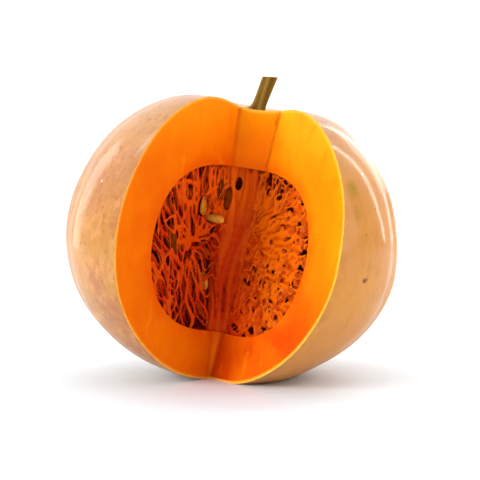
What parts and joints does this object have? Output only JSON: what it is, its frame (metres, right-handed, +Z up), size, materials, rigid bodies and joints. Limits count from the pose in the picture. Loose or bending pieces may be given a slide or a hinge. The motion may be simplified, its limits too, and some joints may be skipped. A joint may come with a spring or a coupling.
{
  "type": "pumpkin",
  "caption": "Large round squash with shallow ribs and a bent stem stub, standing on its base, with a wedge cut from its front that shows flesh, fibrous pulp and seeds.",
  "frame": {"origin": "middle of the bottom of the fruit's bounding box, on the surface that it rests on", "axes": "+Z up; -Y towards the front, where the wedge is cut out; +X to the side that the stem leans to, which is also the widest way across"},
  "size_m": [0.2688, 0.2435, 0.245],
  "materials": {
    "rind": "waxy buff skin with a soft gloss",
    "flesh": "moist cut flesh, satin",
    "pulp": "wet stringy pulp",
    "seed": "slick pale seed coat",
    "stem": "dry ridged stalk, matte"
  },
  "bodies": {
    "root": {"fruit_wall": "rind", "stem": "stem", "pulp": "pulp"}
  },
  "joints": []
}
